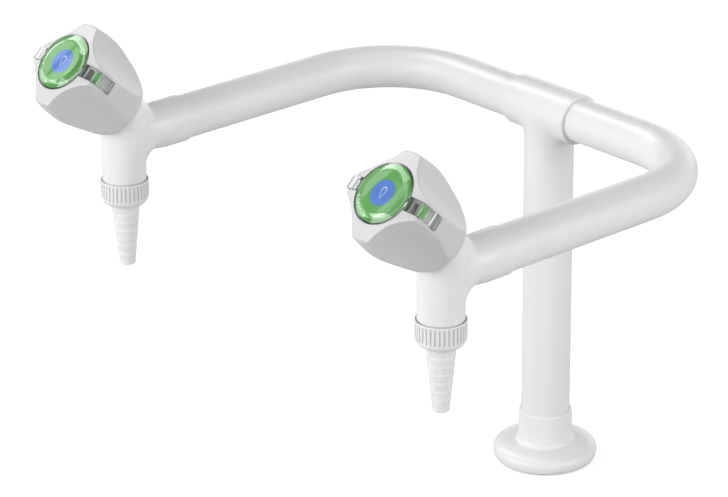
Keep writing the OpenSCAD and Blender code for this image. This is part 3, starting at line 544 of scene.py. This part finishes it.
def arm(side):
    """A tube that leaves the tee level, bends forward once and ends in the valve body."""
    straight, forward = OUTLET_X - BEND_R, REACH - SOCKET_END - BEND_R
    path, tangents = [], []
    for x in np.linspace(ARM_START, straight, 12)[:-1]:
        path.append((x, 0, 0))
        tangents.append((1, 0, 0))
    for a in np.radians(np.linspace(0, 90, 49)):
        path.append((straight + BEND_R * math.sin(a), -BEND_R * (1 - math.cos(a)), 0))
        tangents.append((math.cos(a), -math.sin(a), 0))
    for y in np.linspace(0, forward, 14)[1:]:
        path.append((OUTLET_X, -BEND_R - y, 0))
        tangents.append((0, -1, 0))
    n, m = ARM_SIDES, len(path)
    outer = sweep(path, tangents, ARM_R, n)
    inner = sweep(path, tangents, ARM_R - ARM_WALL, n)
    v, f = join(outer, (inner[0], [q[::-1] for q in inner[1]]))
    base = m * n
    for j in range(n):
        l = (j + 1) % n
        f.append((j, l, base + l, base + j))
        a, b = (m - 1) * n + j, (m - 1) * n + l
        f.append((b, a, base + a, base + b))
    v[:, 0] *= side
    return v, f


for name, side in SIDES:
    piece(f"{name}_arm_tube", *arm(side), "tap", "coated_white", COAT, place=shift(0, 0, ARM_H),
          cad=[f"{name}_arm"])
    piece(f"{name}_cast_body", *BODY_MESH, "tap", "coated_white", COAT, place=at_outlet(side),
          cad=[f"{name}_valve_body"])


# Knob; s is the height along its spindle

def ridge(s):
    """Radius of the barrel shape, which is left at the four ridges."""
    return KNOB_R - SIDE_R + np.sqrt(SIDE_R ** 2 - (np.minimum(s, BEYOND_S) - WIDEST) ** 2)


def flank(s):
    """Radius at the middle of a hollow flank."""
    return FLANK_AT + (FACE - s) * math.tan(FLANK_SPREAD)


def least(s):
    return min(float(ridge(s)), flank(s))


def side_radius(th, s):
    """Radius of the knob's side: barrel, four hollow flanks and four low facets."""
    r = ridge(s) + 0 * th
    for k in range(4):
        phi = (th - math.pi / 4 - k * math.pi / 2 + math.pi) % (2 * math.pi) - math.pi
        d = flank(s) + FLANK_R
        root = FLANK_R ** 2 - (d * np.sin(phi)) ** 2
        hit = np.where((root > 0) & (np.abs(phi) < CUT_HALF_ANGLE),
                       d * np.cos(phi) - np.sqrt(np.maximum(root, 0)), MISS)
        r = smin(r, hit, FLANK_BLEND)
        phi = (th - k * math.pi / 2 + math.pi) % (2 * math.pi) - math.pi
        hit = np.where(np.abs(phi) < CUT_HALF_ANGLE, (FACET_AT + (s - KNOB_BASE) * math.tan(FACET_LEAN))
                       / np.maximum(np.cos(phi), 0.2), MISS)
        r = smin(r, hit, FACET_BLEND)
    return r


def face_height(r):
    """Height of the face, which falls evenly from the cap to the shoulder."""
    return FACE - (r - CAP_R - FACE_START) * (FACE - SHOULDER - 0.2) / (ridge(SHOULDER) - 1 - CAP_R - FACE_START)


def knob_skin():
    """Rings from the inside of the base up the side, over the face, down the recess and round the hollow."""
    th = np.linspace(0, 2 * math.pi, KNOB_SIDES, endpoint=False)
    top = np.full(KNOB_SIDES, SHOULDER + 0.5)
    for _ in range(12):
        top = face_height(side_radius(th, top))
    rows = [(ridge(KNOB_BASE) - KNOB_WALL, KNOB_BASE)]
    base = side_radius(th, KNOB_BASE)
    for a in np.radians(np.linspace(0, 90, 6)):
        rows.append((base - KNOB_EDGE + KNOB_EDGE * np.sin(a), KNOB_BASE + KNOB_EDGE * (1 - np.cos(a))))
    for q in np.linspace(0, 1, 90)[1:]:
        s = KNOB_BASE + KNOB_EDGE + (top - 0.8 - KNOB_BASE - KNOB_EDGE) * q
        rows.append((side_radius(th, s), s))
    r1, s1 = rows[-1]
    corner_r, corner_s = side_radius(th, top), top
    r2 = corner_r - KNOB_EDGE
    s2 = face_height(r2)
    for q in np.linspace(0, 1, 9)[1:]:
        rows.append(((1 - q) ** 2 * r1 + 2 * q * (1 - q) * corner_r + q * q * r2,
                     (1 - q) ** 2 * s1 + 2 * q * (1 - q) * corner_s + q * q * s2))
    edge = CAP_R + 0.15
    for q in np.linspace(0, 1, 14)[1:-1]:
        r = r2 + (edge + 0.5 - r2) * q
        rows.append((r, face_height(r)))
    rows += rounded([(edge + 0.6, float(face_height(edge + 0.6))), (edge, float(face_height(edge)), 0.45),
                     (edge, DECK + DECK_T), (HUB_R, DECK + DECK_T)], closed=False)
    rows += [(SCREW_HOLE_R, DECK + DECK_T), (SCREW_HOLE_R, DECK), (SOCKET_R, DECK), (SOCKET_R, HUB_BOTTOM),
             (HUB_R, HUB_BOTTOM), (HUB_R, DECK)]
    rows += [(least(s) - KNOB_WALL, s) for s in (DECK, HOLLOW_HIGH, HOLLOW_LOW)]
    return lathe(rows, KNOB_SIDES)


def prism(outline, half_w, axis_turn):
    """A closed prism: outline in (radius, s), half_w to each side."""
    m = len(outline)
    v = [(r, -half_w, s) for r, s in outline] + [(r, half_w, s) for r, s in outline]
    f = [tuple(range(m)), tuple(range(2 * m - 1, m - 1, -1))]
    for i in range(m):
        k = (i + 1) % m
        f.append((i, i + m, k + m, k))
    v = np.array(v, float)
    c, s_ = math.cos(axis_turn), math.sin(axis_turn)
    v = v @ np.array([[c, s_, 0], [-s_, c, 0], [0, 0, 1]])
    return v, f


def raw(part):
    mesh = bpy.data.meshes.new("raw")
    mesh.from_pydata(np.asarray(part[0]).tolist(), [], part[1])
    weld(mesh, 1e-4)
    return add_object("raw", mesh)


def carved(part, *cutters):
    """The part less the cutters, by exact booleans."""
    target = raw(part)
    tools = [raw(c) for c in cutters]
    for t in tools:
        mod = target.modifiers.new("cut", "BOOLEAN")
        mod.operation, mod.solver, mod.object = "DIFFERENCE", "EXACT", t
    bpy.context.view_layer.update()
    got = target.evaluated_get(bpy.context.evaluated_depsgraph_get()).to_mesh()
    verts = np.zeros(len(got.vertices) * 3)
    got.vertices.foreach_get("co", verts)
    faces = [tuple(p.vertices) for p in got.polygons]
    for o in [target, *tools]:
        bpy.data.objects.remove(o)
    return verts.reshape(-1, 3), faces


def knob():
    """The knob with slots down two ridges for the cap's clips, and a pocket in the floor of each slot."""
    floor = CAP_UNDER - CLIP_T - CLIP_DIP
    shoulder, marker, end = (float(ridge(s)) - SLOT_DEPTH for s in (SHOULDER, MARKER_AT, SLOT_END))
    slot = [(CAP_R - 2, floor), (shoulder, floor - CLIP_DIP), (marker, MARKER_AT), (end, SLOT_END),
            (BEYOND_R, SLOT_END), (BEYOND_R, BEYOND_S), (CAP_R - 2, BEYOND_S)]
    pocket = [(CAP_R + 1.4, DECK - 4), (CAP_R + 4, DECK - 4), (CAP_R + 4, BEYOND_S), (CAP_R + 1.4, BEYOND_S)]
    cutters = []
    for turn in (0, math.pi):
        cutters += [prism(slot, SLOT_W / 2, turn), prism(pocket, SLOT_W / 2 - 1, turn)]
    return carved(knob_skin(), *cutters)


KNOB_MESH = knob()


# Clear cap, clips, printed disc

def cap():
    rim, ring = CAP_UNDER + RIM_H, CAP_UNDER + RIM_H + RING_H
    big = (WINDOW_R ** 2 + DOME_H ** 2) / (2 * DOME_H)
    profile = [(0.0, CAP_UNDER), (CAP_R - SKIRT_T, CAP_UNDER), (CAP_R - SKIRT_T, DECK + DECK_T + LOOSE),
               (CAP_R, DECK + DECK_T + LOOSE, 0.2), (CAP_R, rim, 0.35), (WINDOW_R, ring, 0.3),
               (WINDOW_R - 0.3, ring - 0.18, 0.1)]
    dome = [(r, ring - 0.3 + DOME_H - big + math.sqrt(big * big - r * r))
            for r in np.linspace(WINDOW_R - 0.5, 0, 24)]
    return lathe(rounded(profile, closed=False) + dome, MEDIUM, closed=False)


# Moulded steps down the outside of a clip: height, and how far out
CLIP_STEPS = [(48.6, 0.0), (48.5, -0.5), (47.2, -0.45), (47.1, 0.0), (44.4, 0.0), (44.3, -0.7), (42.8, -0.6),
              (42.7, 0.0), (41.4, 0.0), (41.3, -0.6), (39.9, -0.6), (39.8, 0.0)]


def clip(turn):
    """Bridge over the face and finger down the slot, with moulded steps on its outside."""
    top, foot = CAP_UNDER + RIM_H - 0.4, SLOT_END + 0.15
    shoulder, marker, end = (float(ridge(s)) for s in (SHOULDER, MARKER_AT, foot))
    outer = [(CAP_R - 0.8, top), (shoulder - 0.6, SHOULDER + 1.2), (shoulder + CLIP_PROUD, SHOULDER + 0.3)]
    outer += [(float(ridge(s)) + CLIP_PROUD + d, s) for s, d in CLIP_STEPS]
    outer.append((end + CLIP_PROUD, foot))
    inner = [(end + CLIP_PROUD - CLIP_T, foot), (marker + CLIP_PROUD - CLIP_T, MARKER_AT),
             (shoulder - 1.8, top - CLIP_T - 1.4), (CAP_R - 0.8, top - CLIP_T)]
    return prism(rounded([(*p, 0.12) for p in outer + inner], seg=2), (SLOT_W - 0.8) / 2, turn)


CAP_MESH = join(cap(), clip(0), clip(math.pi))


def band(first, second, closed):
    """A thin printed band between two lines of as many points."""
    n = len(first)
    v = [(x, y, PRINT_Z + h) for h in (0.0, PRINT_T) for line in (first, second) for x, y in line]
    f = []
    for j in range(n if closed else n - 1):
        l = (j + 1) % n
        f += [(j, l, n + l, n + j), (2 * n + j, 3 * n + j, 3 * n + l, 2 * n + l),
              (j, 2 * n + j, 2 * n + l, l), (n + j, n + l, 3 * n + l, 3 * n + j)]
    if not closed:
        f += [(0, n, 3 * n, 2 * n), (n - 1, 3 * n - 1, 4 * n - 1, 2 * n - 1)]
    return np.array(v), f


def tick(a0, outer):
    """A short tick on the ring round the disc, 2 degrees wide."""
    angles = np.linspace(a0, a0 + math.radians(2.0), 6)
    return band(*([(r * math.cos(t), r * math.sin(t)) for t in angles] for r in (TICK_IN, outer)), closed=False)


def drop_outline(size=3.6, n=48):
    """A plain water drop's outline."""
    pts = []
    for t in np.linspace(0, 2 * math.pi, n, endpoint=False):
        pts.append((size * 0.62 * math.sin(t) * math.sin(t / 2) ** 1.3, -size * math.cos(t) * 0.95))
    return np.array(pts)


def marks():
    """The disc's print: a drop in the middle and seven ticks, every third one long."""
    drop = drop_outline()
    parts = [band(drop, drop * 0.78 + (0, -0.1), closed=True)]
    for k in range(7):
        parts.append(tick(math.radians(202 + k * 9), TICK_LONG if k % 3 == 0 else TICK_OUT))
    return join(*parts)


MARKS_MESH = marks()


# Nozzle and nut

def nozzle():
    pitch = (NUT_BOTTOM - TIP - 2.5) / BARBS
    outline = [(MOUTH_R, COLLAR_TOP, 0.3), (COLLAR_R, COLLAR_TOP, 0.3), (COLLAR_R, COLLAR_UNDER, 0.3),
               (NECK_R, COLLAR_UNDER, 0.2), (NECK_R, NUT_BOTTOM - 0.3, 0.25)]
    for i in range(BARBS):
        hi = NOZZLE_TOP_R + (NOZZLE_TIP_R - NOZZLE_TOP_R) * i / BARBS
        lo = NOZZLE_TOP_R + (NOZZLE_TIP_R - NOZZLE_TOP_R) * (i + 1) / BARBS
        z = NUT_BOTTOM - 0.5 - i * pitch
        outline += [(hi + BARB_STEP, z, 0.5), (lo, z - pitch + 0.7, 0.4)]
    outline += [(NOZZLE_TIP_R, TIP, 1.6), (NOZZLE_BORE, TIP, 0.3), (NOZZLE_BORE, COLLAR_TOP - 6)]
    return lathe(rounded(outline), COARSE)


def nut():
    """Round-topped ribs that fade out over the rounded lower end."""
    low_r, top, slim = NECK_R + 0.9, NUT_TOP - 0.8, -SPOUT_DROP - 0.4
    n = RIBS * RIB_SIDES
    a = np.linspace(0, 2 * math.pi, n, endpoint=False)
    groove = 1 - smooth(np.clip((np.cos(a * RIBS) + 0.25) / 0.5, 0, 1))
    rows = []
    for b in np.radians(np.linspace(0, 90, 18)):
        r = low_r + (NUT_R - low_r) * math.sin(b)
        z = NUT_BOTTOM + NUT_ROUND * (1 - math.cos(b))
        fade = smooth(np.clip((z - NUT_BOTTOM - 3.4) / 1.6, 0, 1))
        rows.append((r - RIB_DEPTH * fade * groove, z))
    for z in np.linspace(NUT_BOTTOM + NUT_ROUND, slim, 8)[1:]:
        rows.append((NUT_R - RIB_DEPTH * groove, z))
    for q in np.linspace(0, 1, 5)[1:]:
        rows.append((NUT_R - (RIB_DEPTH + (RIM_DEPTH - RIB_DEPTH) * smooth(q)) * groove, slim + 0.3 * q))
    for q in np.linspace(0, 1, 5):
        rows.append((NUT_R - RIM_DEPTH * groove * (1 - smooth(q)), top - 0.4 + 0.4 * q))
    rows += rounded([(NUT_R, top), (NUT_R, NUT_TOP, 0.3), (SPOUT_R + NUT_GAP, NUT_TOP, 0.2),
                     (SPOUT_R + NUT_GAP, -SPOUT_DROP - LOOSE), (TAIL_R + LOOSE, -SPOUT_DROP - LOOSE),
                     (TAIL_R + LOOSE, NUT_SEAT), (NECK_R + LOOSE, NUT_SEAT), (NECK_R + LOOSE, NUT_BOTTOM, 0.3),
                     (low_r - 0.2, NUT_BOTTOM)], closed=False)
    return lathe(rows, n)


NOZZLE_MESH, NUT_MESH = nozzle(), nut()

for name, side in SIDES:
    spot = at_outlet(side)
    tilted = spot @ KNOB_FRAME
    knob_body = f"{name}_knob_set"
    piece(f"{name}_lobed_knob", *KNOB_MESH, knob_body, "knob_white", KNOB, place=tilted, angle=30,
          cad=[f"{name}_knob"])
    piece(f"{name}_lens_cap", *CAP_MESH, knob_body, "clear_plastic", CLEAR, place=tilted, angle=30,
          cad=[f"{name}_clear_cap"])
    piece(f"{name}_disc_marks", *MARKS_MESH, knob_body, "nozzle_white", PRINT, place=tilted)
    piece(f"{name}_tapered_nozzle", *NOZZLE_MESH, f"{name}_nozzle_set", "nozzle_white", NOZZLE, place=spot,
          cad=[f"{name}_hose_nozzle"])
    piece(f"{name}_ribbed_nut", *NUT_MESH, f"{name}_nut", "nozzle_white", NOZZLE, place=spot, angle=50,
          cad=[f"{name}_coupling_nut"])


# Materials on the solids that stay

KEPT = {"foot_gasket": RUBBER, "seat_seal": RUBBER, "fixed_disc": CERAMIC, "turning_disc": CERAMIC,
        "bonnet": BRASS, "spindle": BRASS, "spindle_rings": RUBBER, "knob_screw": STEEL, "media_disc": GREEN,
        "media_centre": BLUE, "side_markers": GREEN, "nozzle_seal": RUBBER}
for node, obj in frame["nodes"].items():
    kind = node.split("_", 1)[1] if node.startswith(("left_", "right_")) else node
    if kind in KEPT:
        obj.data.materials.clear()
        obj.data.materials.append(KEPT[kind])


# Floor, light and camera, in metres

FLOOR_HALF, FLOOR_Z, FLOOR_GREY, FLOOR_GLOW = 8, -0.0006, 0.55, 0.64
SKY_LOW, SKY_HIGH = 0.60, 0.28
BETWEEN_LENSES = Vector((0, -0.24, 0.265))
FOCAL_PIXELS, PHOTO_WIDTH, SENSOR = 3293.0677, 728, 36


def floor():
    """A grey floor that shows white to the camera, also through the clear caps."""
    mesh = bpy.data.meshes.new("floor")
    h, z = FLOOR_HALF, FLOOR_Z
    mesh.from_pydata([(-h, -h, z), (h, -h, z), (h, h, z), (-h, h, z)], [], [(0, 1, 2, 3)])
    mat = bpy.data.materials.new("floor_white")
    mat.use_nodes = True
    nodes, links = mat.node_tree.nodes, mat.node_tree.links
    nodes.clear()
    out = nodes.new("ShaderNodeOutputMaterial")
    diffuse = nodes.new("ShaderNodeBsdfDiffuse")
    diffuse.inputs["Color"].default_value = (FLOOR_GREY, FLOOR_GREY, FLOOR_GREY, 1)
    glow = nodes.new("ShaderNodeEmission")
    path = nodes.new("ShaderNodeLightPath")
    seen = nodes.new("ShaderNodeMath")
    seen.operation = "MAXIMUM"
    links.new(path.outputs["Is Camera Ray"], seen.inputs[0])
    links.new(path.outputs["Is Transmission Ray"], seen.inputs[1])
    power = nodes.new("ShaderNodeMath")
    power.operation = "MULTIPLY"
    power.inputs[1].default_value = FLOOR_GLOW
    links.new(seen.outputs[0], power.inputs[0])
    links.new(power.outputs[0], glow.inputs["Strength"])
    add = nodes.new("ShaderNodeAddShader")
    links.new(diffuse.outputs[0], add.inputs[0])
    links.new(glow.outputs[0], add.inputs[1])
    links.new(add.outputs[0], out.inputs["Surface"])
    mesh.materials.append(mat)
    obj = add_object("floor", mesh)


def world():
    """A grey studio that shows white to the camera."""
    w = bpy.data.worlds.new("studio")
    bpy.context.scene.world = w
    w.use_nodes = True
    nodes, links = w.node_tree.nodes, w.node_tree.links
    nodes.clear()
    out = nodes.new("ShaderNodeOutputWorld")
    back = nodes.new("ShaderNodeBackground")
    coord = nodes.new("ShaderNodeTexCoord")
    split = nodes.new("ShaderNodeSeparateXYZ")
    links.new(coord.outputs["Generated"], split.inputs[0])
    shade = nodes.new("ShaderNodeValToRGB")
    for stop, (position, grey) in zip(shade.color_ramp.elements, ((0.0, SKY_LOW), (1.0, SKY_HIGH))):
        stop.position = position
        stop.color = (grey, grey, grey, 1)
    links.new(split.outputs["Z"], shade.inputs[0])
    path = nodes.new("ShaderNodeLightPath")
    mix = colour_mix(nodes)
    links.new(path.outputs["Is Camera Ray"], mix.inputs[MIX_FACTOR])
    links.new(shade.outputs[0], mix.inputs[MIX_A])
    mix.inputs[MIX_B].default_value = (1, 1, 1, 1)
    links.new(mix.outputs[MIX_OUT], back.inputs["Color"])
    back.inputs["Strength"].default_value = 1.0
    links.new(back.outputs[0], out.inputs["Surface"])


def area(name, way, far, size_x, size_y, power, across):
    """A lamp that faces the lenses from the direction way; across is its local X axis."""
    data = bpy.data.lights.new(name, "AREA")
    data.shape = "RECTANGLE"
    data.size, data.size_y = size_x, size_y
    data.energy = power
    obj = add_object(name, data)
    back = Vector(way).normalized()
    x = Vector(across)
    x = (x - x.dot(back) * back).normalized()
    y = back.cross(x)
    place = Matrix((x, y, back)).transposed().to_4x4()
    place.translation = BETWEEN_LENSES + back * far
    obj.matrix_world = place
    return obj


floor()
world()
# The key stands left of the camera, the fill right of it and the rear lamp behind the part. The panel shows in
# the upper half of the lenses, the strip on their rings.
area("key", (-0.22, -0.94, 0.26), 2.4, 1.7, 1.5, 46, (1, 0, 0))
area("fill", (0.90, 0.33, 0.28), 2.4, 1.4, 1.4, 27, (0, 1, 0))
area("rear", (-0.50, 0.86, 0.08), 3.0, 2.6, 1.4, 17, (1, 0, 0))
area("panel", (-0.863, -0.140, 0.484), 8.0, 5.8, 3.1, 115, (0.336, 0.556, 0.761))
area("strip", (-0.627, -0.03, 0.778), 3.0, 2.6, 0.8, 34, (-0.50, 0.37, -0.38)).visible_diffuse = False

# The camera as fitted to the photograph's outline
camera = bpy.data.cameras.new("camera")
camera.sensor_fit = "HORIZONTAL"
camera.sensor_width = SENSOR
camera.lens = FOCAL_PIXELS * SENSOR / PHOTO_WIDTH
camera.clip_start, camera.clip_end = 0.05, 50
eye = add_object("camera", camera)
right = Vector((0.66008929, 0.75113742, -0.00864334))
up = Vector((-0.28476027, 0.26085777, 0.92242334))
ahead = Vector((-0.69512137, 0.60642049, -0.38608352))
eye.matrix_world = Matrix(((right.x, up.x, -ahead.x, 1.235925), (right.y, up.y, -ahead.y, -1.217096),
                           (right.z, up.z, -ahead.z, 0.856024), (0, 0, 0, 1)))
bpy.context.scene.camera = eye
bpy.context.scene.view_settings.view_transform = "Standard"
